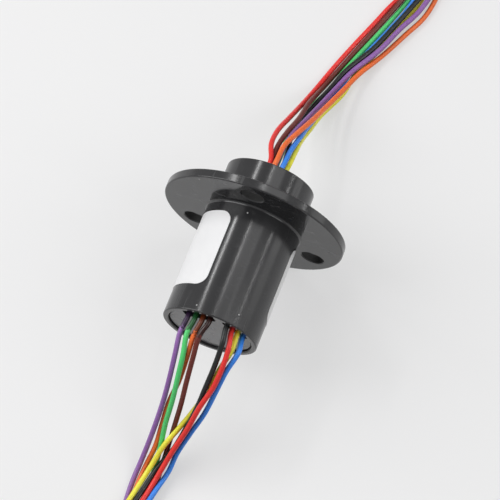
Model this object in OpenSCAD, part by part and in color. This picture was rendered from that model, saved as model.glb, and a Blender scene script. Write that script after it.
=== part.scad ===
// Flanged capsule slip ring with eight circuits.
// The housing is bolted through its flange; the rotor turns inside it on two ball bearings
// and carries eight grooved rings, each touched by a spring wire brush on either side.
// Millimetres. The spin axis is +Y, towards the nose, and the mounting face is y = 0.
// Parts of the capsule are modelled with the axis along Z and laid over by along_y().

/* [Housing] */
// Diameter of the body that passes through the mounting panel
body_d = 22; // [21:0.1:28]
// Distance from the mounting face to the open end of the body
body_len = 27.2; // [27:0.1:40]
// Wall of the body tube
body_wall = 1.25; // [1:0.05:1.6]
// Diameter of the mounting flange
flange_d = 42.3; // [41:0.1:50]
// Thickness of the mounting flange
flange_t = 2.1; // [1.6:0.1:4]
// Diameter of the nose beyond the flange
nose_d = 20.6; // [19:0.1:24]
// Length of the nose beyond the flange
nose_len = 9.1; // [8.5:0.1:14]
// Radius of the small fillets on both sides of the flange
flange_fillet = 0.5; // [0.2:0.1:1]
// Rounding of the moulding's outer edges
edge_r = 0.3; // [0.1:0.05:0.5]

/* [Flange holes] */
// Diameter of each screw hole
hole_d = 5.3; // [4:0.1:6]
// Pitch circle of the screw holes
hole_pcd = 32.5; // [30:0.1:34]
// Number of screw holes
hole_count = 3; // [3:1:6]
// Chamfer at each end of a screw hole
hole_chamfer = 0.2; // [0.1:0.05:0.4]

/* [Label] */
// Thickness of the bare label round the body
label_t = 0.08; // [0.05:0.01:0.15]
// Length of the label along the body
label_len = 18.3; // [12:0.1:20]
// Distance from the mounting face to the label
label_gap = 2.7; // [1.5:0.1:4]
// Angle of bare plastic between the label's two ends
label_open = 96; // [40:1:180]
// Direction of the middle of that gap, from the top towards +X
label_open_at = 30; // [0:1:90]
// Radius of the label's corners
label_corner = 2.6; // [1:0.1:4]

/* [End cap] */
// Depth of the cap's face inside the end of the body
cap_recess = 0.5; // [0.2:0.1:1]
// Thickness of the cap
cap_t = 1.6; // [1.2:0.1:2]
// Width of the groove between the cap's face and the body
cap_groove = 0.35; // [0.2:0.05:0.6]
// Depth of that groove
cap_groove_depth = 0.7; // [0.4:0.1:1]

/* [Front bearing] */
// Bore of the front bearing
front_bore = 8; // [8:0.1:8.6]
// Outer diameter of the front bearing
front_od = 16; // [15.6:0.1:16.6]
// Width of the front bearing
front_w = 4; // [3.6:0.1:5]
// Ball diameter of the front bearing
front_ball = 2.4; // [2:0.1:2.5]
// Number of balls in the front bearing
front_balls_n = 9; // [7:1:10]

/* [Rear bearing] */
// Bore of the rear bearing
rear_bore = 5; // [4:0.1:5.4]
// Outer diameter of the rear bearing
rear_od = 11; // [10.6:0.1:12]
// Width of the rear bearing
rear_w = 3; // [2.6:0.1:3.2]
// Ball diameter of the rear bearing
rear_ball = 1.8; // [1.5:0.1:1.9]
// Number of balls in the rear bearing
rear_balls_n = 8; // [6:1:9]

/* [Rings and brushes] */
// Outer diameter of a slip ring
ring_d = 11.2; // [10.6:0.1:11.6]
// Bore of a slip ring
ring_bore = 8.4; // [8.3:0.1:9.2]
// Width of a slip ring
ring_w = 1.2; // [1:0.05:1.25]
// Depth of the V groove in a slip ring
ring_groove = 0.35; // [0.2:0.05:0.4]
// Outer diameter of the insulating discs between the rings
disc_d = 12.4; // [12:0.1:12.8]
// Width of an insulating disc
disc_w = 0.7; // [0.5:0.05:0.75]
// Diameter of the brush wire
brush_d = 0.3; // [0.2:0.05:0.4]
// Distance between the two legs of a brush
brush_span = 4.6; // [4:0.1:5]

/* [Leads] */
// Outer diameter of a lead's insulation
lead_d = 1.2; // [0.9:0.05:1.24]
// Distance from the axis to the leads that leave the rotor
rotor_lead_r = 1.95; // [1.9:0.01:2]
// Distance between neighbouring leads where they leave the end cap
stator_lead_pitch = 1.8; // [1.4:0.05:1.9]
// Mean radius of the coil that each bundle's spare length is wound into
coil_r = 18; // [18:0.1:18.2]
// Width of the tie round each coil
tie_w = 2.5; // [1.5:0.1:5]
// Thickness of the tie
tie_t = 0.3; // [0.2:0.05:0.3]

/* [Hidden] */
$fn = 96;
eps = 0.01;
over = 1;
small_fn = 24;

// Bearing proportions: lands and cage against the space between the races, cage against a ball
land_share = 0.42;
cage_share = 0.24;
cage_height = 0.64;

// Plain clearances
run_gap = 0.3;       // between a turning face and a fixed one
ball_gap = 0.04;     // between a ball and the grooves it runs in
brush_gap = 0.05;    // between a brush wire and the bottom of its groove
brush_bend = 0.4;    // radius of the brush wire's bends, at its middle
wire_gap = 0.05;     // round a wire that passes through a hole

// Housing
bore_r = body_d / 2 - body_wall;
nose_end = flange_t + nose_len;
hole_seg = 360 / hole_count;

// Front bearing, seated against the shoulder behind the nose's mouth
mouth_depth = 5.2;
mouth_lip = 0.8;
mouth_r = front_od / 2 - mouth_lip;
front_hi = nose_end - mouth_depth;
front_lo = front_hi - front_w;
seat_spare = 1;
seat_len = front_w + seat_spare;
bore_top = front_hi - seat_len;

// Ring stack, counted from the shoulder on the shaft towards the rear
ring_n = 8;
shoulder_len = 3.5;
shoulder_step = 0.8;
shoulder_r = front_bore / 2 + shoulder_step;
stack_hi = front_lo - shoulder_len;
ring_pitch = ring_w + disc_w;
stack_len = ring_n * ring_pitch + disc_w;
stack_lo = stack_hi - stack_len;
function ring_mid(i) = stack_hi - disc_w - ring_w / 2 - i * ring_pitch;

// Rear bearing, carrier and terminal board
collar_t = 0.7;
collar_boss = 0.3;
collar_wall = 0.8;
collar_step = 0.4;
collar_boss_r = rear_bore / 2 + collar_wall;
collar_r = ring_d / 2 - collar_step;
carrier_hi = stack_lo - collar_t - collar_boss;
rear_lo = carrier_hi - rear_w;
carrier_lip = 0.6;
carrier_lo = rear_lo - carrier_lip;
board_t = 0.9;
board_lo = carrier_lo - board_t;
board_gap = 0.05;
board_step = 1.2;
board_hole_r = rear_od / 2 - board_step;

// End cap
cap_lo = -(body_len - cap_recess);
cap_hi = cap_lo + cap_t;

// Rotor
lead_gap = 0.1;
lead_bore_r = rotor_lead_r + lead_d / 2 + lead_gap;
hub_recess = 0.6;
hub_edge_r = 0.4;
hub_r = mouth_r - run_gap;
hub_lo = front_hi + run_gap;
hub_hi = nose_end - hub_recess;
bush_depth = 1.6;
bush_wall = 1.1;
bush_proud = 0.3;
bush_edge_r = 0.25;
bush_mouth_r = 0.4;
hub_seat = hub_hi - bush_depth;
bush_r = lead_bore_r + bush_wall;
notch_r = 0.5;
notch_depth = 0.8;
notch_inset = 1.1;
notch_at = hub_r - notch_inset;
shaft_bore_lo = ring_mid(ring_n - 1) - lead_d;

// Wire tail that joins a ring to its lead, through the wall of the shaft
tail_d = 0.3;
tail_grip = 0.3;

// Brush blocks
groove_r = ring_d / 2 - ring_groove;
brush_x = groove_r + brush_gap + brush_d / 2;
block_gap = 0.8;
block_side = 0.7;
block_x = disc_d / 2 + block_gap;
block_half = brush_span / 2 + block_side;
leg_depth = 1.2;
pin_d = 0.6;
pin_inset = 1.2;
pin_x = block_x + pin_inset;
pin_grip = 0.5;
pin_z = [-1.8, -0.6, 0.6, 1.8];

// Direction round the axis, as an angle from the top (+Z) towards +X
function turn(a) = [sin(a), 0, cos(a)];

// Leads leave the end cap in two rows, each across its own direction from the axis
row_n = 4;
row_at = [-20, 48];
row_r = [6.8, 8];
slot_side = 0.5;
slot_corner = 0.8;
slot_w = (row_n - 1) * stator_lead_pitch + lead_d + 2 * slot_side;
function row_spot(i) =
    let (row = floor(i / row_n), across = (i % row_n - (row_n - 1) / 2) * stator_lead_pitch)
    row_r[row] * turn(row_at[row]) + across * turn(row_at[row] + 90);

// Seven leads leave the rotor round the eighth
lead_seg = 360 / (ring_n - 1);
function hub_spot(i) = (i < ring_n - 1) ? rotor_lead_r * turn(90 - i * lead_seg) : [0, 0, 0];

// The surface that the flange's rim and the leads touch, and the lanes of the coils
floor_z = -21.15;
lane_w = 1.3;
layer_h = 1.25;
coil_lanes = 4;
coil_layers = 4;
coil_corner = 0.6;
coil_w = coil_lanes * lane_w;
coil_h = coil_layers * layer_h;
coil_z = floor_z + tie_t;
tie_gap = 0.06;
stator_coil_at = [14, -82];
rotor_coil_at = [-3, 95];
stator_tie_turn = 0;
rotor_tie_turn = 180;

// Straight run of a lead beyond the cap or the hub, and the sides of a lead's section
stator_straight = 0.8;
rotor_straight = 1.4;
lead_sides = 8;

// Lead colours in the order of the two lists of routes
stator_colours = ["mediumpurple", "limegreen", "darkorange", "saddlebrown",
                  "#202222", "red", "gold", "dodgerblue"];
rotor_colours = ["gold", "dodgerblue", "darkorange", "red",
                 "saddlebrown", "limegreen", "#202222", "mediumpurple"];

// Free run of each stator lead, from the end cap down to the floor and on to the coil
stator_routes = [
    // purple
    [[-5.3, -31, 4.4], [-4.9, -35, 2.3], [-4.7, -39, -1.5], [-4.8, -43, -6.5], [-5.2, -47, -11.4],
     [-5.7, -51, -15.6], [-6.2, -55, -18.8], [-6.5, -60, -20.4], [-6, -68, -20.4],
     [-6, -78, -20.2]],
    // green
    [[-3.7, -31, 5.2], [-3.1, -35, 2.8], [-2.9, -39, -1], [-2.8, -43, -5.7], [-3.1, -47, -11],
     [-2.9, -51, -15.5], [-2.8, -55, -19.1], [-2.6, -60, -20.4], [-3.4, -68, -20.4],
     [-3.4, -78, -20.2]],
    // orange
    [[-2.1, -31, 5.4], [-2.3, -35, 1.2], [-2.7, -39, -3.2], [-3.7, -43, -7.8], [-4, -47, -12.5],
     [-4.1, -51, -16.3], [-4.9, -55, -19.4], [-5.2, -60, -20.4], [-4.7, -68, -20.4],
     [-4.7, -78, -20.2]],
    // brown
    [[-0.8, -31, 6.1], [-0.8, -35, 2.8], [-0.8, -39, -1.3], [-0.8, -43, -6.4], [-1.2, -47, -12.5],
     [-1.4, -51, -16.6], [-1.5, -55, -19.7], [-1.3, -60, -20.4], [-2.1, -68, -20.4],
     [-2.1, -78, -20.2]],
    // black
    [[4.6, -31, 6.7], [4.3, -35, 2.9], [3.6, -39, -1.4], [2.8, -43, -6.1], [1.5, -47, -10.9],
     [0, -51, -15.2], [-2, -55, -17.9], [-3.3, -60, -19], [-4.7, -68, -19.1], [-4.7, -78, -18.9]],
    // red
    [[6.1, -31, 6], [6.1, -35, 3.4], [5.3, -39, -0.3], [3.6, -43, -4.2], [2.2, -47, -9.1],
     [0.5, -51, -13.4], [-0.8, -55, -16.7], [-2, -60, -18.9], [-3.4, -68, -19.1],
     [-3.4, -78, -18.9]],
    // yellow
    [[6.7, -31, 4.2], [5.4, -35, 1.5], [4.1, -39, -3.1], [2.1, -43, -7.9], [0, -47, -11.4],
     [-2, -51, -14], [-3.4, -55, -17.4], [-4.6, -60, -19], [-6, -68, -19.1], [-6, -78, -18.9]],
    // blue
    [[8.3, -31, 4.5], [7, -35, 2], [5.9, -39, -2.4], [4.7, -43, -7.1], [2.8, -47, -11.6],
     [1, -51, -16.4], [0.4, -55, -18.8], [-0.7, -60, -19], [-2.1, -68, -19.1], [-2.1, -78, -18.9]],
];

// Free run of each rotor lead, from the hub down to the floor and on to the coil
rotor_routes = [
    // yellow
    [[2.5, 15.5, 0.3], [2.4, 20, -1.8], [2, 25, -6.3], [2.1, 31, -12.1], [2.5, 38, -18.1],
     [4.9, 45, -19.9], [6, 51, -20.4], [8.6, 58, -20.4], [11.2, 65, -20.4], [13.1, 71, -20.4],
     [14.6, 78, -20.4], [15.7, 86, -20.4], [15.7, 91, -20.2]],
    // blue
    [[1.6, 15.5, 1.8], [1.6, 20, -0.3], [1.9, 25, -3.8], [2, 31, -9.4], [2.6, 38, -15.1],
     [4.1, 45, -18.5], [4.8, 51, -19.7], [7.1, 58, -19.9], [9.7, 65, -20.1], [11.7, 71, -20.2],
     [13.3, 78, -19], [14.4, 86, -19.1], [14.4, 91, -18.9]],
    // orange
    [[-0.1, 15.5, 2.4], [-0.1, 20, 0.6], [1.1, 25, -2.4], [2.6, 31, -6.6], [3.7, 38, -12.4],
     [5.4, 45, -16.2], [7.1, 51, -18.5], [10.4, 58, -20], [13.6, 65, -20.2], [16.2, 71, -20.4],
     [17.2, 78, -20.4], [17.1, 86, -20.3], [17, 91, -20.2]],
    // red
    [[-1.6, 15.5, 1.1], [-3.2, 20, -0.7], [-3.5, 25, -4.1], [-2.8, 31, -9], [-2, 38, -14.9],
     [-1, 45, -19.5], [0.6, 51, -20.4], [3, 58, -20.4], [5.6, 65, -20.4], [7.8, 71, -20.4],
     [11, 78, -20.4], [13.1, 86, -20.4], [13.1, 91, -20.2]],
    // brown
    [[-1.4, 15.5, -0.5], [-1.7, 20, -1.1], [-1.3, 25, -3.7], [-0.6, 31, -8], [-0.6, 38, -13.7],
     [0.3, 45, -19.1], [2, 51, -20.3], [4.4, 58, -20.3], [7, 65, -20.1], [9.2, 71, -19.5],
     [11.5, 78, -18.9], [13.1, 86, -19.1], [13.1, 91, -18.9]],
    // green
    [[-0.4, 15.5, -2], [-0.6, 20, -3.6], [-1.3, 25, -7.8], [-1.3, 31, -12.4], [-0.8, 38, -17.6],
     [1.5, 45, -20.4], [3.3, 51, -20.2], [5.7, 58, -20.3], [8.3, 65, -20.3], [10.3, 71, -20.3],
     [12.4, 78, -20.3], [14.4, 86, -20.4], [14.4, 91, -20.2]],
    // black
    [[1.2, 15.5, -1.3], [0.7, 20, -2.7], [-0.4, 25, -6.1], [-0.9, 31, -10.7], [0.2, 38, -15.8],
     [2.1, 45, -18.1], [4, 51, -18.6], [7.8, 58, -18.6], [10.4, 65, -18.8], [12.5, 71, -18.8],
     [14.7, 78, -18.9], [15.7, 86, -19.1], [15.7, 91, -18.9]],
    // purple
    [[-0.3, 15.5, 0.2], [-0.3, 20, -0.9], [0, 25, -3.8], [1, 31, -7.9], [1.9, 38, -13.7],
     [3.4, 45, -17.3], [5.4, 51, -18.4], [9.3, 58, -18.4], [12, 65, -18.6], [14.6, 71, -19],
     [16.2, 78, -19], [17, 86, -18.9], [17, 91, -18.9]],
];

// Lays a part that is modelled along Z over onto the Y axis; its -Y side becomes the top
module along_y() {
    rotate([-90, 0, 0]) children();
}

// Turns a part modelled towards the top, before along_y(), by an angle from the top towards +X
module turned(a) {
    rotate([0, 0, a]) children();
}

// A plain ring between two heights
module ring(r_out, r_in, lo, hi) {
    translate([0, 0, lo]) difference() {
        cylinder(r = r_out, h = hi - lo);
        translate([0, 0, -over]) cylinder(r = r_in, h = hi - lo + 2 * over);
    }
}

// ---- Housing -------------------------------------------------------------------------

// Half section of the moulding; the fillets and rounded edges are true arcs
module housing_section() {
    rb = body_d / 2;
    rn = nose_d / 2;
    rf = flange_d / 2;
    f = flange_fillet;
    difference() {
        union() {
            // body tube
            translate([bore_r, -body_len]) square([body_wall, body_len + flange_t]);
            // flange
            square([rf, flange_t]);
            // nose
            square([rn, nose_end]);
            // fillets beside the flange
            translate([rb, -f]) fillet_square(f);
            translate([rn, flange_t + f]) mirror([0, 1]) fillet_square(f);
        }
        // rounded edges
        translate([rb, -body_len]) corner_cut(edge_r);
        translate([bore_r, -body_len]) mirror([1, 0]) corner_cut(edge_r);
        translate([rf, 0]) corner_cut(edge_r);
        translate([rf, flange_t]) mirror([0, 1]) corner_cut(edge_r);
        translate([rn, nose_end]) mirror([0, 1]) corner_cut(edge_r);
        translate([mouth_r, nose_end]) mirror([1, 0]) mirror([0, 1]) corner_cut(edge_r);
        // bore, bearing seat and mouth
        translate([0, -body_len - over]) square([bore_r, bore_top + body_len + over]);
        translate([0, bore_top - eps]) square([front_od / 2, seat_len + eps]);
        translate([0, front_hi - eps]) square([mouth_r, mouth_depth + over]);
    }
}

// Square in the corner between a wall and a flange, less the fillet's arc
module fillet_square(r) {
    difference() {
        translate([-eps, 0]) square([r + eps, r + eps]);
        translate([r, 0]) circle(r = r);
    }
}

// What is cut away to round an outer corner at the origin, with the part up and to the left
module corner_cut(r) {
    difference() {
        translate([-r, -over]) square([r + over, r + over]);
        translate([-r, r]) circle(r = r);
    }
}

module flange_hole() {
    r = hole_d / 2;
    c = hole_chamfer;
    translate([0, 0, -over]) cylinder(r = r, h = flange_t + 2 * over);
    translate([0, 0, -eps]) cylinder(r1 = r + c + eps, r2 = r, h = c + eps);
    translate([0, 0, flange_t - c]) cylinder(r1 = r, r2 = r + c + eps, h = c + eps);
}

module housing() {
    color("#26282a") along_y() difference() {
        rotate_extrude() housing_section();
        for (i = [0 : hole_count - 1])
            turned(i * hole_seg) translate([0, -hole_pcd / 2, 0]) flange_hole();
    }
}

// ---- Label ---------------------------------------------------------------------------

// Cuts one corner of the label, at the end that faces +X when it lies at the top
module label_corner_cut() {
    rotate([90, 0, 0]) translate([0, 0, body_d / 2 - over]) linear_extrude(2 * over)
        corner_cut(label_corner);
}

module label() {
    arc = 360 - label_open;
    lo = -label_gap - label_len;
    first = label_open_at + label_open / 2;
    color("white") along_y() difference() {
        turned(first - 90) translate([0, 0, lo]) rotate_extrude(angle = arc)
            translate([body_d / 2, 0]) square([label_t, label_len]);
        // leading end
        turned(first + arc) translate([0, 0, lo]) label_corner_cut();
        turned(first + arc) translate([0, 0, -label_gap]) mirror([0, 0, 1]) label_corner_cut();
        // trailing end
        turned(first) translate([0, 0, lo]) mirror([1, 0, 0]) label_corner_cut();
        turned(first) translate([0, 0, -label_gap]) mirror([1, 0, 0]) mirror([0, 0, 1]) label_corner_cut();
    }
}

// ---- Rear of the capsule ---------------------------------------------------------------

// Slot in the cap that one row of four leads leaves through, open to the bore
module cap_slot(row) {
    inner = row_r[row] - lead_d / 2 - slot_side;
    c = slot_corner;
    turned(row_at[row]) translate([0, -inner, cap_lo - over]) linear_extrude(cap_t + 2 * over) {
        translate([-slot_w / 2, -bore_r]) square([slot_w, bore_r - c]);
        translate([c - slot_w / 2, -2 * c]) square([slot_w - 2 * c, 2 * c]);
        for (s = [-1, 1])
            translate([s * (slot_w / 2 - c), -c]) circle(r = c);
    }
}

module end_cap() {
    color("#7d7f82") along_y() difference() {
        union() {
            translate([0, 0, cap_lo + cap_groove_depth]) cylinder(r = bore_r, h = cap_t - cap_groove_depth);
            translate([0, 0, cap_lo]) cylinder(r = bore_r - cap_groove, h = cap_t);
        }
        for (row = [0, 1])
            cap_slot(row);
    }
}

// Moulded disc that holds the rear bearing and closes off the ring chamber
module rear_carrier() {
    color("#3a3c3f") along_y() difference() {
        ring(bore_r, rear_od / 2 - carrier_lip, carrier_lo, carrier_hi);
        translate([0, 0, rear_lo]) cylinder(d = rear_od, h = rear_w + over);
        pin_places() cylinder(r = pin_d / 2 + wire_gap, h = carrier_hi - board_lo + 2 * over);
    }
}

// Puts its children, upright from below the terminal board, where the brush blocks' pins are
module pin_places() {
    for (s = [-1, 1], z = pin_z)
        translate([s * pin_x, z, board_lo - over]) children();
}

// Round circuit board that joins the blocks' pins to the stator leads
module terminal_board() {
    color("seagreen") along_y() difference() {
        ring(bore_r - board_gap, board_hole_r, board_lo, carrier_lo);
        pin_places() cylinder(r = pin_d / 2 + wire_gap, h = board_t + 2 * over);
    }
}

// ---- Bearings --------------------------------------------------------------------------

function pitch_r(bore, od) = (bore + od) / 4;
function race_half(bore, od) = (od - bore) / 4;

module race_groove(bore, od, ball_d, w) {
    translate([pitch_r(bore, od), w / 2]) circle(d = ball_d + 2 * ball_gap);
}

module outer_race(bore, od, ball_d, w) {
    land = pitch_r(bore, od) + race_half(bore, od) * land_share;
    rotate_extrude() difference() {
        translate([land, 0]) square([od / 2 - land, w]);
        race_groove(bore, od, ball_d, w);
    }
}

module inner_race(bore, od, ball_d, w) {
    land = pitch_r(bore, od) - race_half(bore, od) * land_share;
    rotate_extrude() difference() {
        translate([bore / 2, 0]) square([land - bore / 2, w]);
        race_groove(bore, od, ball_d, w);
    }
}

// Balls in a flat cage
module ball_set(bore, od, ball_d, w, n) {
    r = pitch_r(bore, od);
    half = race_half(bore, od) * cage_share;
    h = ball_d * cage_height;
    ring(r + half, r - half, (w - h) / 2, (w + h) / 2);
    for (i = [0 : n - 1])
        rotate([0, 0, i * 360 / n]) translate([r, 0, w / 2]) sphere(d = ball_d);
}

module front_outer_race() {
    color("silver") along_y() translate([0, 0, front_lo])
        outer_race(front_bore, front_od, front_ball, front_w);
}

module front_inner_race() {
    color("silver") along_y() translate([0, 0, front_lo])
        inner_race(front_bore, front_od, front_ball, front_w);
}

module front_balls() {
    color("gainsboro") along_y() translate([0, 0, front_lo])
        ball_set(front_bore, front_od, front_ball, front_w, front_balls_n);
}

module rear_outer_race() {
    color("silver") along_y() translate([0, 0, rear_lo])
        outer_race(rear_bore, rear_od, rear_ball, rear_w);
}

module rear_inner_race() {
    color("silver") along_y() translate([0, 0, rear_lo])
        inner_race(rear_bore, rear_od, rear_ball, rear_w);
}

module rear_balls() {
    color("gainsboro") along_y() translate([0, 0, rear_lo])
        ball_set(rear_bore, rear_od, rear_ball, rear_w, rear_balls_n);
}

// ---- Rotor -----------------------------------------------------------------------------

// Hollow moulded shaft: stub for the rear bearing, ring seat, shoulder and front journal
module rotor_shaft() {
    color("#55585c") along_y() difference() {
        union() {
            translate([0, 0, rear_lo]) cylinder(d = rear_bore, h = stack_lo - rear_lo + over);
            translate([0, 0, stack_lo]) cylinder(d = ring_bore, h = stack_len + over);
            translate([0, 0, stack_hi]) cylinder(r = shoulder_r, h = shoulder_len);
            translate([0, 0, front_lo - eps]) cylinder(d = front_bore, h = hub_seat - front_lo + eps);
        }
        translate([0, 0, shaft_bore_lo]) cylinder(r = lead_bore_r, h = hub_seat - shaft_bore_lo + over);
        for (i = [0 : ring_n - 1])
            ring_tail(i, tail_d / 2 + wire_gap);
    }
}

// Tail of one ring, from the side of its lead to a little way into the ring
function tail_start(i) = (i < ring_n - 1) ? rotor_lead_r + lead_d / 2 : lead_d / 2;
module ring_tail(i, r) {
    turned(90 - i * lead_seg) translate([0, -tail_start(i), ring_mid(i)]) rotate([90, 0, 0])
        cylinder(r = r, h = ring_bore / 2 + tail_grip - tail_start(i), $fn = small_fn);
}

// Cap on the front of the rotor that the leads pass through
module rotor_hub() {
    color("#2c2e31") along_y() difference() {
        union() {
            translate([0, 0, front_hi]) cylinder(r = shoulder_r, h = run_gap + over);
            rotate_extrude() difference() {
                translate([0, hub_lo]) square([hub_r, hub_hi - hub_lo]);
                translate([hub_r, hub_hi]) mirror([0, 1]) corner_cut(hub_edge_r);
            }
        }
        translate([0, 0, front_hi - over]) cylinder(d = front_bore, h = hub_seat - front_hi + over);
        translate([0, 0, hub_seat - eps]) cylinder(r = bush_r, h = bush_depth + over);
        // two notches for a pin spanner
        for (s = [-1, 1])
            translate([0, s * notch_at, hub_hi - notch_depth])
                cylinder(r = notch_r, h = notch_depth + over, $fn = small_fn);
    }
}

// Soft bush that the leads leave the hub through
module lead_bush() {
    color("#181a1b") along_y() rotate_extrude() difference() {
        translate([lead_bore_r, hub_seat]) square([bush_wall, bush_depth + bush_proud]);
        translate([lead_bore_r, hub_hi + bush_proud]) mirror([1, 0]) mirror([0, 1])
            corner_cut(bush_mouth_r);
        translate([bush_r, hub_hi + bush_proud]) mirror([0, 1]) corner_cut(bush_edge_r);
    }
}

// Collar that holds the ring stack against the shaft's shoulder
module lock_collar() {
    color("#8c8f94") along_y() {
        ring(collar_r, rear_bore / 2, stack_lo - collar_t, stack_lo);
        ring(collar_boss_r, rear_bore / 2, carrier_hi, stack_lo - collar_t);
    }
}

module insulating_discs() {
    color("#e8e2d0") along_y() for (i = [0 : ring_n])
        ring(disc_d / 2, ring_bore / 2, stack_hi - disc_w - i * ring_pitch, stack_hi - i * ring_pitch);
}

// One ring with its V groove, and the tail that runs in to its lead
module slip_ring(i) {
    color("goldenrod") along_y() union() {
        translate([0, 0, ring_mid(i)]) rotate_extrude() difference() {
            translate([ring_bore / 2, -ring_w / 2]) square([(ring_d - ring_bore) / 2, ring_w]);
            polygon([[ring_d / 2 + eps, -ring_groove - eps],
                     [groove_r, 0],
                     [ring_d / 2 + eps, ring_groove + eps]]);
        }
        ring_tail(i, tail_d / 2);
    }
}

// ---- Brushes ---------------------------------------------------------------------------

// Moulded bar beside the ring stack, to the +X side, with its four pins to the board
module brush_block() {
    block_hi = bore_top;
    difference() {
        intersection() {
            translate([0, 0, carrier_hi]) cylinder(r = bore_r, h = block_hi - carrier_hi);
            translate([block_x, -block_half, carrier_hi - over])
                cube([bore_r, 2 * block_half, block_hi - carrier_hi + 2 * over]);
        }
        for (i = [0 : ring_n - 1], s = [-1, 1])
            translate([block_x - over, s * brush_span / 2, ring_mid(i)]) rotate([0, 90, 0])
                cylinder(d = brush_d, h = leg_depth + over, $fn = small_fn);
    }
    for (z = pin_z)
        translate([pin_x, z, board_lo])
            cylinder(d = pin_d, h = carrier_hi - board_lo + pin_grip, $fn = small_fn);
}

// Bend between a leg and the stretch that lies across the ring, in the plane of the brush
module brush_corner() {
    rotate([0, 0, 180]) rotate_extrude(angle = 90)
        translate([brush_bend, 0]) circle(d = brush_d, $fn = small_fn);
}

// Eight U-shaped wires, one across each ring, with their legs in the block
module brushes() {
    leg_x = brush_x + brush_bend;
    leg_y = brush_span / 2;
    straight = brush_span - 2 * brush_bend;
    for (i = [0 : ring_n - 1]) translate([0, 0, ring_mid(i)]) {
        for (s = [0, 1]) mirror([0, s, 0]) {
            translate([leg_x, -leg_y, 0]) rotate([0, 90, 0])
                cylinder(d = brush_d, h = block_x + leg_depth - leg_x, $fn = small_fn);
            translate([leg_x, -leg_y + brush_bend, 0]) brush_corner();
        }
        translate([brush_x, straight / 2, 0]) rotate([90, 0, 0])
            cylinder(d = brush_d, h = straight, $fn = small_fn);
    }
}

module brush_block_right() {
    color("#2f4f4f") along_y() brush_block();
}

module brush_block_left() {
    color("#2f4f4f") along_y() rotate([0, 0, 180]) brush_block();
}

module brushes_right() {
    color("gold") along_y() brushes();
}

module brushes_left() {
    color("gold") along_y() rotate([0, 0, 180]) brushes();
}

// ---- Leads -----------------------------------------------------------------------------

function unit(v) = v / norm(v);

// Direction of a route at one of its points
function heading(p, i) =
    let (last = len(p) - 1)
    unit((i < last ? unit(p[i + 1] - p[i]) : [0, 0, 0]) + (i > 0 ? unit(p[i] - p[i - 1]) : [0, 0, 0]));

// Points of a ring of lead_sides corners round a route's point, square to its direction
function lead_ring(p, i) =
    let (h = heading(p, i), side = unit(cross(h, [1, 0, 0])), other = cross(h, side))
    [for (k = [0 : lead_sides - 1])
        let (a = k * 360 / lead_sides)
        p[i] + lead_d / 2 * (cos(a) * side + sin(a) * other)];

// Round tube along a route
module lead(p) {
    n = len(p);
    m = lead_sides;
    points = [for (i = [0 : n - 1]) each lead_ring(p, i)];
    sides = [for (i = [0 : n - 2], k = [0 : m - 1])
        [i * m + k, i * m + (k + 1) % m, (i + 1) * m + (k + 1) % m, (i + 1) * m + k]];
    ends = [[for (k = [m - 1 : -1 : 0]) k], [for (k = [0 : m - 1]) (n - 1) * m + k]];
    polyhedron(points = points, faces = concat(sides, ends), convexity = 4);
}

// Whole route of a stator lead: from its pad, straight through the cap's slot, then free
function stator_route(i) =
    let (spot = row_spot(i))
    concat([spot + [0, board_lo, 0], spot + [0, cap_lo - stator_straight, 0]], stator_routes[i]);

// Whole route of a rotor lead: from its ring, along the hollow shaft, then free
function rotor_route(i) =
    let (spot = hub_spot(i))
    concat([spot + [0, ring_mid(i) - lead_d / 2, 0], spot + [0, hub_hi + rotor_straight, 0]],
           rotor_routes[i]);

module stator_lead(i) {
    color(stator_colours[i]) lead(stator_route(i));
}

module rotor_lead(i) {
    color(rotor_colours[i]) lead(rotor_route(i));
}

// Outer shape of a bundle of eight leads wound round and round
module coil(at) {
    translate([at[0], at[1], coil_z]) rotate_extrude() difference() {
        translate([coil_r - coil_w / 2, 0]) square([coil_w, coil_h]);
        for (s = [0, 1], t = [0, 1])
            translate([coil_r + (s - 0.5) * coil_w, t * coil_h])
                mirror([1 - s, 0]) mirror([0, t]) corner_cut(coil_corner);
    }
}

// Flat strap round the section of a coil
module tie(at, a) {
    w = coil_w + 2 * tie_gap;
    h = coil_h + tie_gap;
    translate([at[0], at[1], floor_z]) rotate([0, 0, a]) translate([coil_r, 0, 0]) difference() {
        translate([-w / 2 - tie_t, -tie_w / 2, 0]) cube([w + 2 * tie_t, tie_w, h + 2 * tie_t]);
        translate([-w / 2, -tie_w, tie_t]) cube([w, 2 * tie_w, h]);
    }
}

module stator_coil() {
    color("#8a5a6a") coil(stator_coil_at);
}

module rotor_coil() {
    color("#8a5a6a") coil(rotor_coil_at);
}

module stator_tie() {
    color("#202020") tie(stator_coil_at, stator_tie_turn);
}

module rotor_tie() {
    color("#202020") tie(rotor_coil_at, rotor_tie_turn);
}

// ---- Parts -----------------------------------------------------------------------------

housing();
label();
end_cap();
rear_carrier();
terminal_board();
front_outer_race();
front_inner_race();
front_balls();
rear_outer_race();
rear_inner_race();
rear_balls();
rotor_shaft();
rotor_hub();
lead_bush();
lock_collar();
insulating_discs();
slip_ring(0);  // slip_ring_1
slip_ring(1);  // slip_ring_2
slip_ring(2);  // slip_ring_3
slip_ring(3);  // slip_ring_4
slip_ring(4);  // slip_ring_5
slip_ring(5);  // slip_ring_6
slip_ring(6);  // slip_ring_7
slip_ring(7);  // slip_ring_8
brush_block_left();
brush_block_right();
brushes_left();
brushes_right();
stator_lead(0);  // stator_lead_purple
stator_lead(1);  // stator_lead_green
stator_lead(2);  // stator_lead_orange
stator_lead(3);  // stator_lead_brown
stator_lead(4);  // stator_lead_black
stator_lead(5);  // stator_lead_red
stator_lead(6);  // stator_lead_yellow
stator_lead(7);  // stator_lead_blue
rotor_lead(0);  // rotor_lead_yellow
rotor_lead(1);  // rotor_lead_blue
rotor_lead(2);  // rotor_lead_orange
rotor_lead(3);  // rotor_lead_red
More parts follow.
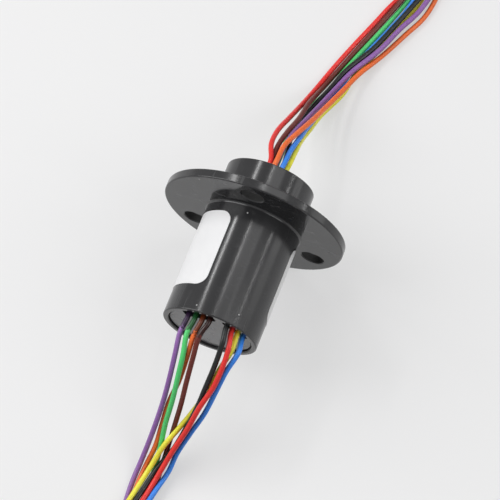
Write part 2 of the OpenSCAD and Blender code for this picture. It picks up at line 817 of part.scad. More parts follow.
rotor_lead(4);  // rotor_lead_brown
rotor_lead(5);  // rotor_lead_green
rotor_lead(6);  // rotor_lead_black
rotor_lead(7);  // rotor_lead_purple
stator_coil();
stator_tie();
rotor_coil();
rotor_tie();
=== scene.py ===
"""Looks for the eight-circuit capsule slip ring: camera, leads, materials, floor and light.

Metres, in the CAD frame: the spin axis is +Y towards the nose, the origin is on the flange's
mounting face, and +Z is up. The stator's leads leave at the -Y end, the rotor's at the +Y end.
"""

import math

import bpy
from mathutils import Matrix, Quaternion, Vector


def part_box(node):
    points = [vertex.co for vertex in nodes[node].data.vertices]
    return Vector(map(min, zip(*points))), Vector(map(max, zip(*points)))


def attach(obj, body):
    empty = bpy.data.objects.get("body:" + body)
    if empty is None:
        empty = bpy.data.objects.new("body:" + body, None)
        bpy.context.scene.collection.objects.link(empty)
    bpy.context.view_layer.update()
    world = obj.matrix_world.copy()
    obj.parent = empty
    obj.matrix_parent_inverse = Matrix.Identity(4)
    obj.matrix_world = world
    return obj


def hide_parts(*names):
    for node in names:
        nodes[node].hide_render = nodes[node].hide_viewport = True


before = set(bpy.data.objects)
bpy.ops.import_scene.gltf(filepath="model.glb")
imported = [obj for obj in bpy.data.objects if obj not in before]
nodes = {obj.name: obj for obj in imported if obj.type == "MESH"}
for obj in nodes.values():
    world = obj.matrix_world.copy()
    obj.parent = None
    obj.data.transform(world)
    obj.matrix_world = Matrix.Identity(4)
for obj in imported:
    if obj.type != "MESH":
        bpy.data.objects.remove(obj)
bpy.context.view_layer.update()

LAYOUT_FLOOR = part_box("housing")[0].z  # the flange's rim touches the floor


def turn(degrees):
    """Direction round the spin axis, as an angle from the top towards +X."""
    a = math.radians(degrees)
    return Vector((math.sin(a), 0, math.cos(a)))


# ---- Camera ----------------------------------------------------------------------------

CAMERA_AT = Vector((0.0961, -0.2342, 0.6308))
CAMERA_AIM = Vector((0.0015, -0.0060, 0.0))
CAMERA_ROLL = 1.94  # degrees clockwise, as seen through the camera
CAMERA_LENS = 220.0
CAMERA_CLIP = (0.01, 20.0)


def make_camera():
    data = bpy.data.cameras.new("camera")
    data.lens = CAMERA_LENS
    data.clip_start, data.clip_end = CAMERA_CLIP
    camera = bpy.data.objects.new("camera", data)
    bpy.context.scene.collection.objects.link(camera)
    ahead = (CAMERA_AIM - CAMERA_AT).normalized()
    camera.location = CAMERA_AT
    camera.rotation_mode = "QUATERNION"
    roll = Quaternion(ahead, math.radians(CAMERA_ROLL))
    camera.rotation_quaternion = roll @ ahead.to_track_quat("-Z", "Y")
    bpy.context.scene.camera = camera


make_camera()

# ---- Leads: their routes ---------------------------------------------------------------

LEAD_D = 0.0012
LEAD_LENGTH = 0.250
TIP_D = 0.0007
TIP_LENGTH = 0.0035
STEP = 0.0008  # distance between the points of a finished lead's line
LEAD_IN = 0.004  # how far back the straight part steers the curve that follows it
WIRE_ROUNDNESS = 4  # Blender's bevel resolution of a lead

# Where the leads start, come out, and stop being straight
BOARD_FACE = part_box("terminal_board")[0].y
CAP_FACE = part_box("end_cap")[0].y
STATOR_FREE = CAP_FACE - 0.0008  # straight to here
HUB_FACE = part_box("lead_bush")[1].y
ROTOR_FREE = HUB_FACE + 0.0011  # straight to here
FIRST_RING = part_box("slip_ring_1")
RING_PITCH = FIRST_RING[1].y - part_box("slip_ring_2")[1].y

# Two rows of four across the end cap, and seven leads round the eighth in the hub
ROW_COUNT = 4
ROW_ANGLE = (-20, 48)
ROW_R = (0.0068, 0.0080)
ROW_PITCH = 0.0018
HUB_COUNT = 7
HUB_FIRST = 90
HUB_R = 0.00195


def row_spot(i):
    """Where stator lead i passes the end cap, in X and Z."""
    row, place = divmod(i, ROW_COUNT)
    angle = ROW_ANGLE[row]
    aside = (place - (ROW_COUNT - 1) / 2) * ROW_PITCH
    return ROW_R[row] * turn(angle) + aside * turn(angle + 90)


def hub_spot(i):
    """Where rotor lead i passes the hub, in X and Z."""
    if i == HUB_COUNT:
        return Vector((0, 0, 0))
    return HUB_R * turn(HUB_FIRST - i * 360 / HUB_COUNT)


# Coils of spare length: lanes side by side, two layers of leads to each turn of the bundle
COIL_R = 0.018
COIL_TURNS = 2
LANES = 4
LAYERS = 2
LANE_W = 0.0013
LAYER_H = 0.00125
LOWEST = LAYOUT_FLOOR + 0.0009
CLIMB_FROM, CLIMB_TO = 250.0, 310.0  # degrees of each turn in which the bundle climbs over itself
TURN_STEP = 2.5  # degrees between the points of a coil
STATOR_COIL = {"at": (0.014, -0.082), "entry": 180.0}
ROTOR_COIL = {"at": (-0.003, 0.095), "entry": 0.0}

# Each lead: colour, its lane (0 is the outermost), its layer and its free run to the coil
STATOR_LEADS = [
    ("purple", 0, 0, [
        (-0.0053, -0.031, 0.0044), (-0.0049, -0.035, 0.0023), (-0.0047, -0.039, -0.0015),
        (-0.0048, -0.043, -0.0065), (-0.0052, -0.047, -0.0114), (-0.0057, -0.051, -0.0156),
        (-0.0062, -0.055, -0.0188), (-0.0065, -0.060, -0.0204), (-0.0060, -0.068, -0.0204),
        (-0.0060, -0.078, -0.0202)]),
    ("green", 2, 0, [
        (-0.0037, -0.031, 0.0052), (-0.0031, -0.035, 0.0028), (-0.0029, -0.039, -0.0010),
        (-0.0028, -0.043, -0.0057), (-0.0031, -0.047, -0.0110), (-0.0029, -0.051, -0.0155),
        (-0.0028, -0.055, -0.0191), (-0.0026, -0.060, -0.0204), (-0.0034, -0.068, -0.0204),
        (-0.0034, -0.078, -0.0202)]),
    ("orange", 1, 0, [
        (-0.0021, -0.031, 0.0054), (-0.0023, -0.035, 0.0012), (-0.0027, -0.039, -0.0032),
        (-0.0037, -0.043, -0.0078), (-0.0040, -0.047, -0.0125), (-0.0041, -0.051, -0.0163),
        (-0.0049, -0.055, -0.0194), (-0.0052, -0.060, -0.0204), (-0.0047, -0.068, -0.0204),
        (-0.0047, -0.078, -0.0202)]),
    ("brown", 3, 0, [
        (-0.0008, -0.031, 0.0061), (-0.0008, -0.035, 0.0028), (-0.0008, -0.039, -0.0013),
        (-0.0008, -0.043, -0.0064), (-0.0012, -0.047, -0.0125), (-0.0014, -0.051, -0.0166),
        (-0.0015, -0.055, -0.0197), (-0.0013, -0.060, -0.0204), (-0.0021, -0.068, -0.0204),
        (-0.0021, -0.078, -0.0202)]),
    ("black", 1, 1, [
        (0.0046, -0.031, 0.0067), (0.0043, -0.035, 0.0029), (0.0036, -0.039, -0.0014),
        (0.0028, -0.043, -0.0061), (0.0015, -0.047, -0.0109), (0.0, -0.051, -0.0152),
        (-0.0020, -0.055, -0.0179), (-0.0033, -0.060, -0.0190), (-0.0047, -0.068, -0.0191),
        (-0.0047, -0.078, -0.0189)]),
    ("red", 2, 1, [
        (0.0061, -0.031, 0.0060), (0.0061, -0.035, 0.0034), (0.0053, -0.039, -0.0003),
        (0.0036, -0.043, -0.0042), (0.0022, -0.047, -0.0091), (0.0005, -0.051, -0.0134),
        (-0.0008, -0.055, -0.0167), (-0.0020, -0.060, -0.0189), (-0.0034, -0.068, -0.0191),
        (-0.0034, -0.078, -0.0189)]),
    ("yellow", 0, 1, [
        (0.0067, -0.031, 0.0042), (0.0054, -0.035, 0.0015), (0.0041, -0.039, -0.0031),
        (0.0021, -0.043, -0.0079), (0.0, -0.047, -0.0114), (-0.0020, -0.051, -0.0140),
        (-0.0034, -0.055, -0.0174), (-0.0046, -0.060, -0.0190), (-0.0060, -0.068, -0.0191),
        (-0.0060, -0.078, -0.0189)]),
    ("blue", 3, 1, [
        (0.0083, -0.031, 0.0045), (0.0070, -0.035, 0.0020), (0.0059, -0.039, -0.0024),
        (0.0047, -0.043, -0.0071), (0.0028, -0.047, -0.0116), (0.0010, -0.051, -0.0164),
        (0.0004, -0.055, -0.0188), (-0.0007, -0.060, -0.0190), (-0.0021, -0.068, -0.0191),
        (-0.0021, -0.078, -0.0189)]),
]
ROTOR_LEADS = [
    ("yellow", 1, 0, [
        (0.0025, 0.0155, 0.0003), (0.0024, 0.020, -0.0018), (0.0020, 0.025, -0.0063),
        (0.0021, 0.031, -0.0121), (0.0025, 0.038, -0.0181), (0.0049, 0.045, -0.0199),
        (0.0060, 0.051, -0.0204), (0.0086, 0.058, -0.0204), (0.0112, 0.065, -0.0204),
        (0.0131, 0.071, -0.0204), (0.0146, 0.078, -0.0204), (0.0157, 0.086, -0.0204),
        (0.0157, 0.091, -0.0202)]),
    ("blue", 2, 1, [
        (0.0016, 0.0155, 0.0018), (0.0016, 0.020, -0.0003), (0.0019, 0.025, -0.0038),
        (0.0020, 0.031, -0.0094), (0.0026, 0.038, -0.0151), (0.0041, 0.045, -0.0185),
        (0.0048, 0.051, -0.0197), (0.0071, 0.058, -0.0199), (0.0097, 0.065, -0.0201),
        (0.0117, 0.071, -0.0202), (0.0133, 0.078, -0.0190), (0.0144, 0.086, -0.0191),
        (0.0144, 0.091, -0.0189)]),
    ("orange", 0, 0, [
        (-0.0001, 0.0155, 0.0024), (-0.0001, 0.020, 0.0006), (0.0011, 0.025, -0.0024),
        (0.0026, 0.031, -0.0066), (0.0037, 0.038, -0.0124), (0.0054, 0.045, -0.0162),
        (0.0071, 0.051, -0.0185), (0.0104, 0.058, -0.0200), (0.0136, 0.065, -0.0202),
        (0.0162, 0.071, -0.0204), (0.0172, 0.078, -0.0204), (0.0171, 0.086, -0.0203),
        (0.0170, 0.091, -0.0202)]),
    ("red", 3, 0, [
        (-0.0016, 0.0155, 0.0011), (-0.0032, 0.020, -0.0007), (-0.0035, 0.025, -0.0041),
        (-0.0028, 0.031, -0.0090), (-0.0020, 0.038, -0.0149), (-0.0010, 0.045, -0.0195),
        (0.0006, 0.051, -0.0204), (0.0030, 0.058, -0.0204), (0.0056, 0.065, -0.0204),
        (0.0078, 0.071, -0.0204), (0.0110, 0.078, -0.0204), (0.0131, 0.086, -0.0204),
        (0.0131, 0.091, -0.0202)]),
    ("brown", 3, 1, [
        (-0.0014, 0.0155, -0.0005), (-0.0017, 0.020, -0.0011), (-0.0013, 0.025, -0.0037),
        (-0.0006, 0.031, -0.0080), (-0.0006, 0.038, -0.0137), (0.0003, 0.045, -0.0191),
        (0.0020, 0.051, -0.0203), (0.0044, 0.058, -0.0203), (0.0070, 0.065, -0.0201),
        (0.0092, 0.071, -0.0195), (0.0115, 0.078, -0.0189), (0.0131, 0.086, -0.0191),
        (0.0131, 0.091, -0.0189)]),
    ("green", 2, 0, [
        (-0.0004, 0.0155, -0.0020), (-0.0006, 0.020, -0.0036), (-0.0013, 0.025, -0.0078),
        (-0.0013, 0.031, -0.0124), (-0.0008, 0.038, -0.0176), (0.0015, 0.045, -0.0204),
        (0.0033, 0.051, -0.0202), (0.0057, 0.058, -0.0203), (0.0083, 0.065, -0.0203),
        (0.0103, 0.071, -0.0203), (0.0124, 0.078, -0.0203), (0.0144, 0.086, -0.0204),
        (0.0144, 0.091, -0.0202)]),
    ("black", 1, 1, [
        (0.0012, 0.0155, -0.0013), (0.0007, 0.020, -0.0027), (-0.0004, 0.025, -0.0061),
        (-0.0009, 0.031, -0.0107), (0.0002, 0.038, -0.0158), (0.0021, 0.045, -0.0181),
        (0.0040, 0.051, -0.0186), (0.0078, 0.058, -0.0186), (0.0104, 0.065, -0.0188),
        (0.0125, 0.071, -0.0188), (0.0147, 0.078, -0.0189), (0.0157, 0.086, -0.0191),
        (0.0157, 0.091, -0.0189)]),
    ("purple", 0, 1, [
        (-0.0003, 0.0155, 0.0002), (-0.0003, 0.020, -0.0009), (0.0, 0.025, -0.0038),
        (0.0010, 0.031, -0.0079), (0.0019, 0.038, -0.0137), (0.0034, 0.045, -0.0173),
        (0.0054, 0.051, -0.0184), (0.0093, 0.058, -0.0184), (0.0120, 0.065, -0.0186),
        (0.0146, 0.071, -0.0190), (0.0162, 0.078, -0.0190), (0.0170, 0.086, -0.0189),
        (0.0170, 0.091, -0.0189)]),
]


def smooth(points, before, steps=8):
    """Catmull-Rom curve through points, steered at its start by the point before."""
    p = [Vector(before)] + [Vector(q) for q in points]
    p.append(2 * p[-1] - p[-2])
    line = []
    for a, b, c, d in zip(p, p[1:], p[2:], p[3:]):
        for k in range(steps):
            t = k / steps
            line.append(0.5 * (2 * b + (c - a) * t + (2 * a - 5 * b + 4 * c - d) * t * t
                               + (3 * b - a - 3 * c + d) * t ** 3))
    return line + [p[-2]]


def coil_turns(coil, lane, layer):
    """Line of one lead round and round its coil, from where the bundle enters it."""
    radius = COIL_R + ((LANES - 1) / 2 - lane) * LANE_W
    across, along = coil["at"]
    line = []
    for k in range(int(COIL_TURNS * 360 / TURN_STEP) + 1):
        travel = k * TURN_STEP
        t = min(max((travel % 360 - CLIMB_FROM) / (CLIMB_TO - CLIMB_FROM), 0), 1)
        climbed = LAYERS * LAYER_H * (travel // 360 + t * t * (3 - 2 * t))
        a = math.radians(coil["entry"] + travel)
        line.append(Vector((across + radius * math.cos(a), along + radius * math.sin(a),
                            LOWEST + layer * LAYER_H + climbed)))
    return line


def evenly(line, start, end):
    """Points at even steps along a line from start to end, none of them under the floor."""
    count = max(2, round((end - start) / STEP) + 1)
    wanted = [start + (end - start) * k / (count - 1) for k in range(count)]
    out, gone, i = [], 0.0, 0
    for w in wanted:
        while i < len(line) - 2 and gone + (line[i + 1] - line[i]).length < w:
            gone += (line[i + 1] - line[i]).length
            i += 1
        reach = (line[i + 1] - line[i]).length
        p = line[i].lerp(line[i + 1], min((w - gone) / reach, 1.0))
        p.z = max(p.z, LAYOUT_FLOOR + LEAD_D / 2)
        out.append(p)
    return out


def wire(name, points, diameter):
    """A round wire along points, with flat ends, as a mesh."""
    curve = bpy.data.curves.new("route", "CURVE")
    curve.dimensions = "3D"
    curve.bevel_depth = diameter / 2
    curve.bevel_resolution = WIRE_ROUNDNESS
    curve.use_fill_caps = True
    spline = curve.splines.new("POLY")
    spline.points.add(len(points) - 1)
    for place, p in zip(spline.points, points):
        place.co = (*p, 1)
    spline.use_smooth = True
    holder = bpy.data.objects.new("holder", curve)
    made = bpy.data.objects.new(name, bpy.data.meshes.new_from_object(holder))
    bpy.data.objects.remove(holder)
    bpy.data.curves.remove(curve)
    bpy.context.scene.collection.objects.link(made)
    return made


def make_lead(side, i, lead, start, free_at, coil):
    """One lead with its tinned tip: straight out of the capsule, then its route, then the coil."""
    colour, lane, layer, route = lead
    spot = row_spot(i) if side == "stator" else hub_spot(i)
    ahead = Vector((0, math.copysign(LEAD_IN, free_at), 0))
    free = spot + Vector((0, free_at, 0))
    wound = coil_turns(coil, lane, layer)
    line = [spot + Vector((0, start, 0))]
    line += smooth([free, *route, wound[0]], free - ahead) + wound[1:]
    name = f"{side}_lead_{colour}"
    middle = evenly(line, 0, LEAD_LENGTH)
    lead_piece = wire(f"{name}_wire", middle, LEAD_D)
    bare = evenly(line, LEAD_LENGTH, LEAD_LENGTH + TIP_LENGTH)
    tip = wire(f"{name}_tip", bare, TIP_D)
    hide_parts(name, f"{side}_coil")
    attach(lead_piece, side)
    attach(tip, side)
    return lead_piece, tip


leads = {}
tips = []
for i, lead in enumerate(STATOR_LEADS):
    piece, tip = make_lead("stator", i, lead, BOARD_FACE, STATOR_FREE, STATOR_COIL)
    leads.setdefault(lead[0], []).append(piece)
    tips.append(tip)
for i, lead in enumerate(ROTOR_LEADS):
    ring_side = (FIRST_RING[0].y + FIRST_RING[1].y) / 2 - i * RING_PITCH - LEAD_D / 2
    piece, tip = make_lead("rotor", i, lead, ring_side, ROTOR_FREE, ROTOR_COIL)
    leads.setdefault(lead[0], []).append(piece)
    tips.append(tip)

# ---- Materials -------------------------------------------------------------------------


class Shader:
    """A material with one Principled shader, and short calls for the nodes behind it.

    Noise scales are per metre, and bump distances are in metres.
    """

    def __init__(self, name, **sockets):
        self.material = bpy.data.materials.new(name)
        self.material.use_nodes = True
        self.tree = self.material.node_tree
        self.bsdf = self.tree.nodes["Principled BSDF"]
        for socket, value in sockets.items():
            self.bsdf.inputs[socket.replace("_", " ")].default_value = value
        self.place = self.add("ShaderNodeTexCoord").outputs["Object"]
        self.normal = self.tint = self.gloss = None

    def feed(self, socket, value):
        """Link a socket, or set it to a plain value."""
        if isinstance(value, bpy.types.NodeSocket):
            self.tree.links.new(value, socket)
        else:
            socket.default_value = value

    def add(self, kind, settings=None, **inputs):
        node = self.tree.nodes.new(kind)
        for key, value in (settings or {}).items():
            setattr(node, key, value)
        for key, value in inputs.items():
            self.feed(node.inputs[key.replace("_", " ")], value)
        return node

    def stretched(self, sx, sy, sz):
        """Object coordinates scaled by axis, for grain that runs one way."""
        node = self.add("ShaderNodeMapping", Vector=self.place, Scale=(sx, sy, sz))
        return node.outputs["Vector"]

    def noise(self, scale, detail=4.0, roughness=0.5, place=None, distortion=0.0):
        node = self.add("ShaderNodeTexNoise", Vector=place or self.place, Scale=scale,
                        Detail=detail, Roughness=roughness, Distortion=distortion)
        return node.outputs["Fac"]

    def spread(self, value, low, high, source_low=0.3, source_high=0.7):
        """Value carried from its source range to low..high, and held there outside it."""
        return self.add("ShaderNodeMapRange", Value=value, From_Min=source_low,
                        From_Max=source_high, To_Min=low, To_Max=high).outputs["Result"]

    def maths(self, operation, a, b=0.0):
        node = self.add("ShaderNodeMath", {"operation": operation})
        self.feed(node.inputs[0], a)
        self.feed(node.inputs[1], b)
        return node.outputs[0]

    def along_axis(self):
        """How square a face stands to the spin axis, from 0 to 1."""
        coord = self.add("ShaderNodeTexCoord").outputs["Normal"]
        y = self.add("ShaderNodeSeparateXYZ", Vector=coord).outputs["Y"]
        return self.maths("ABSOLUTE", y)

    def off_axis(self):
        """Distance from the spin axis."""
        node = self.add("ShaderNodeVectorMath", {"operation": "LENGTH"})
        self.tree.links.new(self.stretched(1, 0, 1), node.inputs[0])
        return node.outputs["Value"]

    def blend(self, factor, a, b):
        node = self.add("ShaderNodeMix", {"data_type": "RGBA"})
        # a Mix node keeps its colour sockets at these places among those of its other types
        for index, value in zip((0, 6, 7), (factor, a, b)):
            self.feed(node.inputs[index], value)
        return node.outputs[2]

    def colour(self, socket):
        self.tree.links.new(socket, self.bsdf.inputs["Base Color"])

    def rough(self, socket):
        self.tree.links.new(socket, self.bsdf.inputs["Roughness"])

    def bump(self, height, distance, strength=1.0):
        """One more layer of relief, over the layers before it."""
        node = self.add("ShaderNodeBump", Height=height, Distance=distance, Strength=strength)
        if self.normal:
            self.tree.links.new(self.normal, node.inputs["Normal"])
        self.normal = node.outputs["Normal"]
        self.tree.links.new(self.normal, self.bsdf.inputs["Normal"])

    def dress(self, *objects):
        for o in objects:
            o.data.materials.clear()
            o.data.materials.append(self.material)


def rgba(r, g, b):
    return (r, g, b, 1.0)


def shade(c, k):
    return (c[0] * k, c[1] * k, c[2] * k, 1.0)


FINE_GRAIN = 0.000004  # height of a moulding's surface grain
FINE_LINES = 9000.0  # scale of the lines round turned metal


def moulded(name, colour, roughness, grain):
    """Moulded plastic: faint mottling and slow flow marks."""
    m = Shader(name, Specular_IOR_Level=0.5)
    m.tint = m.blend(m.noise(260.0, 5.0), shade(colour, 0.82), shade(colour, 1.18))
    m.colour(m.tint)
    flow = m.noise(90.0, 3.0, 0.5, m.stretched(1, 0.35, 1), 0.6)
    m.gloss = m.spread(flow, roughness * 0.8, roughness * 1.3)
    m.rough(m.gloss)
    m.bump(m.noise(160.0, 2.0), 0.00005, 0.25)
    m.bump(m.noise(5200.0, 2.0), grain, 1.0)
    return m


# How far from the spin axis the walls of the flange's holes are
HOLE_RING = (0.0125, 0.0205)
HOLE_BLUR = 0.0001  # over which they begin and end
DUST = rgba(0.75, 0.75, 0.75)
WORN = rgba(0.17, 0.17, 0.175)
# painted shade: the near-black colour given to the walls of the flange's holes
HOLE_PAINTED_SHADE = rgba(0.002, 0.002, 0.002)


def make_housing_plastic():
    """Polished faces with fine scratches, rubbed marks and a few specks of dust; matt hole walls
    with painted shade.
    """
    m = moulded("housing_plastic", rgba(0.021, 0.021, 0.0225), 0.18, 0.000002)
    square = m.along_axis()
    faces = m.maths("MULTIPLY", m.gloss, m.spread(square, 1.0, 0.5, 0.7, 0.95))  # glossier
    fine = m.noise(900.0, 2.0, 0.5, m.stretched(1.0, 0.06, 0.5), 0.4)
    handled = m.maths("ADD", faces, m.spread(fine, 0.0, 0.2, 0.66, 0.74))
    specks = m.add("ShaderNodeTexVoronoi", Vector=m.place, Scale=330.0)
    is_speck = m.spread(specks.outputs["Distance"], 1.0, 0.0, 0.03, 0.07)
    chosen = m.add("ShaderNodeSeparateColor", Color=specks.outputs["Color"]).outputs["Red"]
    dusty = m.maths("MULTIPLY", is_speck, m.spread(chosen, 0.0, 0.7, 0.80, 0.84))
    patches = m.noise(640.0, 4.0, 0.6, m.stretched(0.5, 1.0, 1.3), 1.2)
    rubbed = m.maths("MULTIPLY", m.spread(patches, 0.0, 0.5, 0.56, 0.74),
                     m.spread(square, 0.12, 1.0, 0.7, 0.95))  # mostly on the faces
    out = m.off_axis()
    inner, outer = HOLE_RING
    ring = m.maths("MULTIPLY", m.spread(out, 0.0, 1.0, inner - HOLE_BLUR, inner + HOLE_BLUR),
                   m.spread(out, 1.0, 0.0, outer - HOLE_BLUR, outer + HOLE_BLUR))
    in_hole = m.maths("MULTIPLY", ring, m.spread(square, 1.0, 0.0, 0.3, 0.5))
    surface = m.blend(dusty, m.blend(rubbed, m.tint, WORN), DUST)
    # Painted shade: the walls of the flange's holes are coloured near black; they are also made
    # matt.
    m.colour(m.blend(in_hole, surface, HOLE_PAINTED_SHADE))
    m.rough(m.maths("MAXIMUM", handled, m.spread(in_hole, 0.0, 0.7, 0.0, 1.0)))
    m.dress(nodes["housing"])


def turned_metal(name, colour, roughness, line_scale, depth=0.000003):
    """Metal turned round the spin axis: fine lines round it, and a little staining."""
    m = Shader(name, Metallic=1.0)
    stain = m.noise(420.0, 4.0)
    m.colour(m.blend(stain, shade(colour, 0.86), shade(colour, 1.08)))
    m.rough(m.spread(m.noise(700.0, 3.0), roughness * 0.8, roughness * 1.4))
    m.bump(m.noise(line_scale, 2.0, 0.6, m.stretched(0.02, 1.0, 0.02)), depth, 1.0)
    return m


# The left row's roots look dark in the photograph. Here they get painted shade: a dark copy of each
# lead's colour, out this far past the end cap. That is read here as resin of the end cap that crept
# this far along them, but it may be the leads' image in the cap instead.
ROOT_SHADE = {"purple": 0.0032, "green": 0.0036, "orange": 0.0040, "brown": 0.0044}
ROOT_SHADE_RAGGED = 0.0006  # unevenness of the painted shade's edge
ROOT_SHADE_BLUR = 0.0003  # softness of that edge


def insulation(name, colour, shade_reach=0.0):
    """Extruded wire insulation: glossy, with slow waviness, smudges and a few pale scuffs, and
    painted shade over the root next to the end cap when shade_reach is given.
    """
    m = Shader(name, Specular_IOR_Level=0.35)
    tint = m.blend(m.noise(330.0, 4.0), shade(colour, 0.86), shade(colour, 1.12))
    scuffs = m.spread(m.noise(1500.0, 4.0, 0.65), 0.0, 0.16, 0.62, 0.75)
    scuffed = m.blend(scuffs, tint, rgba(0.8, 0.8, 0.8))
    # Painted shade: the root out to shade_reach past the end cap is darkened to 0.16 of the lead's
    # colour.
    if shade_reach:
        y = m.add("ShaderNodeSeparateXYZ", Vector=m.place).outputs["Y"]
        ragged = m.maths("ADD", y, m.spread(m.noise(1800.0, 3.0), -ROOT_SHADE_RAGGED, ROOT_SHADE_RAGGED))
        shade_edge = CAP_FACE - shade_reach
        in_painted_shade = m.spread(ragged, 0.0, 1.0, shade_edge - ROOT_SHADE_BLUR, shade_edge + ROOT_SHADE_BLUR)
        painted_root_shade = m.maths("MULTIPLY", in_painted_shade, m.maths("LESS_THAN", y))  # y < 0 is the stator side
        scuffed = m.blend(painted_root_shade, scuffed, shade(colour, 0.16))
    m.colour(scuffed)
    m.rough(m.spread(m.noise(500.0, 3.0), 0.22, 0.42))
    m.bump(m.noise(420.0, 2.0), 0.00004, 0.35)
    m.bump(m.noise(4000.0, 2.0), 0.000004, 0.6)
    return m


LEAD_COLOURS = {
    "purple": rgba(0.290, 0.130, 0.410),
    "green": rgba(0.100, 0.680, 0.190),
    "orange": rgba(0.950, 0.180, 0.040),
    "brown": rgba(0.155, 0.027, 0.019),
    "black": rgba(0.010, 0.012, 0.012),
    "red": rgba(0.860, 0.042, 0.036),
    "yellow": rgba(0.940, 0.880, 0.070),
    "blue": rgba(0.050, 0.270, 0.900),
}

for colour_name, colour in LEAD_COLOURS.items():
    covering = insulation(f"insulation_{colour_name}", colour, ROOT_SHADE.get(colour_name, 0.0))
    covering.dress(*leads[colour_name])

turned_metal("tinned_copper", rgba(0.62, 0.60, 0.56), 0.32, 5000.0, 0.00002).dress(*tips)

make_housing_plastic()


def make_label_film():
    m = Shader("label_film", Specular_IOR_Level=0.4)
    m.colour(m.blend(m.noise(240.0, 4.0), rgba(0.82, 0.82, 0.83), rgba(0.88, 0.88, 0.885)))
    m.rough(m.spread(m.noise(380.0, 3.0), 0.28, 0.45))
    m.bump(m.noise(110.0, 2.0), 0.00006, 0.5)
    m.bump(m.noise(7000.0, 2.0), 0.000003, 0.7)
    m.dress(nodes["label"])


def make_cap_resin():
    m = Shader("cap_resin", Specular_IOR_Level=0.5)
    m.colour(m.blend(m.noise(500.0, 5.0, 0.6),
                     rgba(0.085, 0.087, 0.095), rgba(0.150, 0.152, 0.160)))
    m.rough(m.spread(m.noise(600.0, 3.0), 0.10, 0.30))
    m.bump(m.noise(700.0, 3.0), 0.00004, 0.5)
    m.dress(nodes["end_cap"])


make_label_film()
make_cap_resin()

# Plain mouldings: colour, roughness, grain and the pieces
MOULDINGS = {
    "hub_plastic": (rgba(0.028, 0.029, 0.031), 0.30, FINE_GRAIN, ["rotor_hub"]),
    "bush_rubber": (rgba(0.014, 0.015, 0.016), 0.62, 0.00001, ["lead_bush"]),
    "inner_plastic": (rgba(0.055, 0.058, 0.062), 0.40, FINE_GRAIN, ["rear_carrier", "rotor_shaft"]),
    "block_plastic": (rgba(0.030, 0.075, 0.080), 0.42, FINE_GRAIN,
                      ["brush_block_left", "brush_block_right"]),
    "insulator": (rgba(0.72, 0.68, 0.56), 0.45, FINE_GRAIN, ["insulating_discs"]),
    "tie_plastic": (rgba(0.020, 0.020, 0.021), 0.38, FINE_GRAIN, ["stator_tie", "rotor_tie"]),
}
# Turned metals: colour, roughness, scale of the lines and the pieces
METALS = {
    "bearing_steel": (rgba(0.60, 0.61, 0.63), 0.20, FINE_LINES,
                      [f"{end}_{part}" for end in ("front", "rear")
                       for part in ("outer_race", "inner_race", "balls")]),
    "collar_metal": (rgba(0.46, 0.47, 0.49), 0.34, FINE_LINES, ["lock_collar"]),
    "ring_brass": (rgba(0.86, 0.62, 0.22), 0.16, FINE_LINES,
                   [f"slip_ring_{n}" for n in range(1, 9)]),
    "brush_wire": (rgba(0.90, 0.70, 0.32), 0.20, 3000.0, ["brushes_left", "brushes_right"]),
}

for finish, (colour, roughness, grain, pieces) in MOULDINGS.items():
    moulded(finish, colour, roughness, grain).dress(*[nodes[piece] for piece in pieces])
for finish, (colour, roughness, line_scale, pieces) in METALS.items():
    turned_metal(finish, colour, roughness, line_scale).dress(*[nodes[piece] for piece in pieces])


def make_board():
    m = Shader("board", Specular_IOR_Level=0.5)
    weave = m.noise(2600.0, 3.0, 0.5, m.stretched(1, 1, 0.25))
    m.colour(m.blend(weave, rgba(0.012, 0.105, 0.040), rgba(0.022, 0.170, 0.065)))
    m.rough(m.spread(m.noise(500.0, 3.0), 0.22, 0.38))
    m.bump(weave, 0.00001, 0.6)
    m.dress(nodes["terminal_board"])


make_board()

# ---- Floor, light and world ------------------------------------------------------------

FLOOR_SIZE = 3.0
FLOOR_COLOUR = rgba(0.41, 0.41, 0.413)
FLOOR_SEEN = 0.455  # what the camera, gloss and clear pieces see it give off
LAMP_REACH = 0.60  # from the object to each lamp
# Lamps, all facing the object: angle from the top towards +X, how far towards the nose,
# width, length along the spin axis, and radiance
LAMPS = {
    "strip_left": (-33.7, 0.258, 0.045, 0.16, 19.0),
    "strip_top": (3.0, 0.258, 0.012, 0.16, 26.0),
    "strip_right": (58.0, 0.258, 0.010, 0.16, 20.0),
    "ceiling": (18.5, 0.258, 0.330, 0.16, 1.55),
    "side": (81.0, 0.258, 0.230, 0.16, 1.25),
    "key": (-50.0, -0.070, 0.600, 0.360, 4.1),
    "fill": (48.0, 0.000, 0.450, 0.320, 2.6),
}
WORLD_LEVEL = 0.20  # what the world lights the object with
WORLD_SEEN = 0.64  # what the camera, gloss and clear pieces see of it


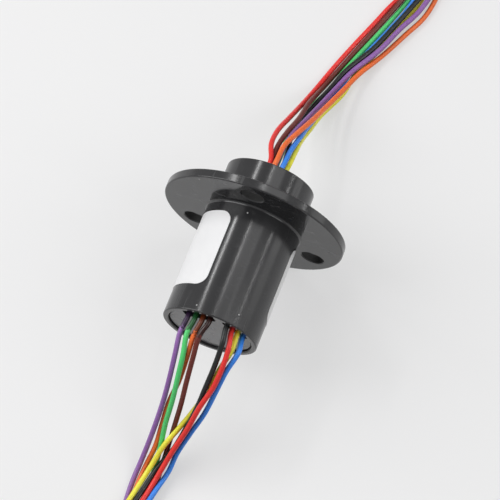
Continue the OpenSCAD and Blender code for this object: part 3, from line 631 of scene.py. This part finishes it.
def seen_ray(tree):
    """1 for a ray from the camera, or from something glossy or clear, and 0 for others."""
    rays = tree.nodes.new("ShaderNodeLightPath").outputs
    seen = rays["Is Camera Ray"]
    for kind in ("Is Glossy Ray", "Is Transmission Ray"):
        either = tree.nodes.new("ShaderNodeMath")
        either.operation = "MAXIMUM"
        tree.links.new(seen, either.inputs[0])
        tree.links.new(rays[kind], either.inputs[1])
        seen = either.outputs[0]
    return seen


def make_floor():
    half = FLOOR_SIZE / 2
    data = bpy.data.meshes.new("floor")
    corners = [(x * half, y * half, LAYOUT_FLOOR) for x, y in ((-1, -1), (1, -1), (1, 1), (-1, 1))]
    data.from_pydata(corners, [], [(0, 1, 2, 3)])
    floor = bpy.data.objects.new("floor", data)
    bpy.context.scene.collection.objects.link(floor)
    m = Shader("floor_paper", Specular_IOR_Level=0.2, Roughness=0.8, Emission_Color=rgba(1, 1, 1))
    m.colour(m.blend(m.noise(6.0, 3.0), shade(FLOOR_COLOUR, 0.985), shade(FLOOR_COLOUR, 1.015)))
    given_off = m.spread(seen_ray(m.tree), 0.0, FLOOR_SEEN, 0.0, 1.0)
    m.tree.links.new(given_off, m.bsdf.inputs["Emission Strength"])
    m.dress(floor)


def make_lamps():
    for name, (angle, forward, width, length, radiance) in LAMPS.items():
        data = bpy.data.lights.new(name, "AREA")
        data.shape = "RECTANGLE"
        data.size = width
        data.size_y = length
        data.energy = radiance * math.pi * width * length  # a lamp's watts for that radiance
        lamp = bpy.data.objects.new(name, data)
        bpy.context.scene.collection.objects.link(lamp)
        lamp.location = LAMP_REACH * turn(angle) + Vector((0, forward, 0))
        across = Matrix.Rotation(math.radians(angle), 3, "Y")
        tilt = Matrix.Rotation(-math.atan2(forward, LAMP_REACH), 3, "X")
        lamp.rotation_euler = (across @ tilt).to_euler()


def make_world():
    world = bpy.data.worlds.new("world")
    bpy.context.scene.world = world
    world.use_nodes = True
    tree = world.node_tree
    ground = tree.nodes["Background"]
    ground.inputs["Color"].default_value = rgba(1.0, 1.0, 1.0)
    level = tree.nodes.new("ShaderNodeMapRange")
    level.inputs["To Min"].default_value = WORLD_LEVEL
    level.inputs["To Max"].default_value = WORLD_SEEN
    tree.links.new(seen_ray(tree), level.inputs["Value"])
    tree.links.new(level.outputs["Result"], ground.inputs["Strength"])


make_floor()
make_lamps()
make_world()
bpy.context.scene.view_settings.view_transform = "Standard"
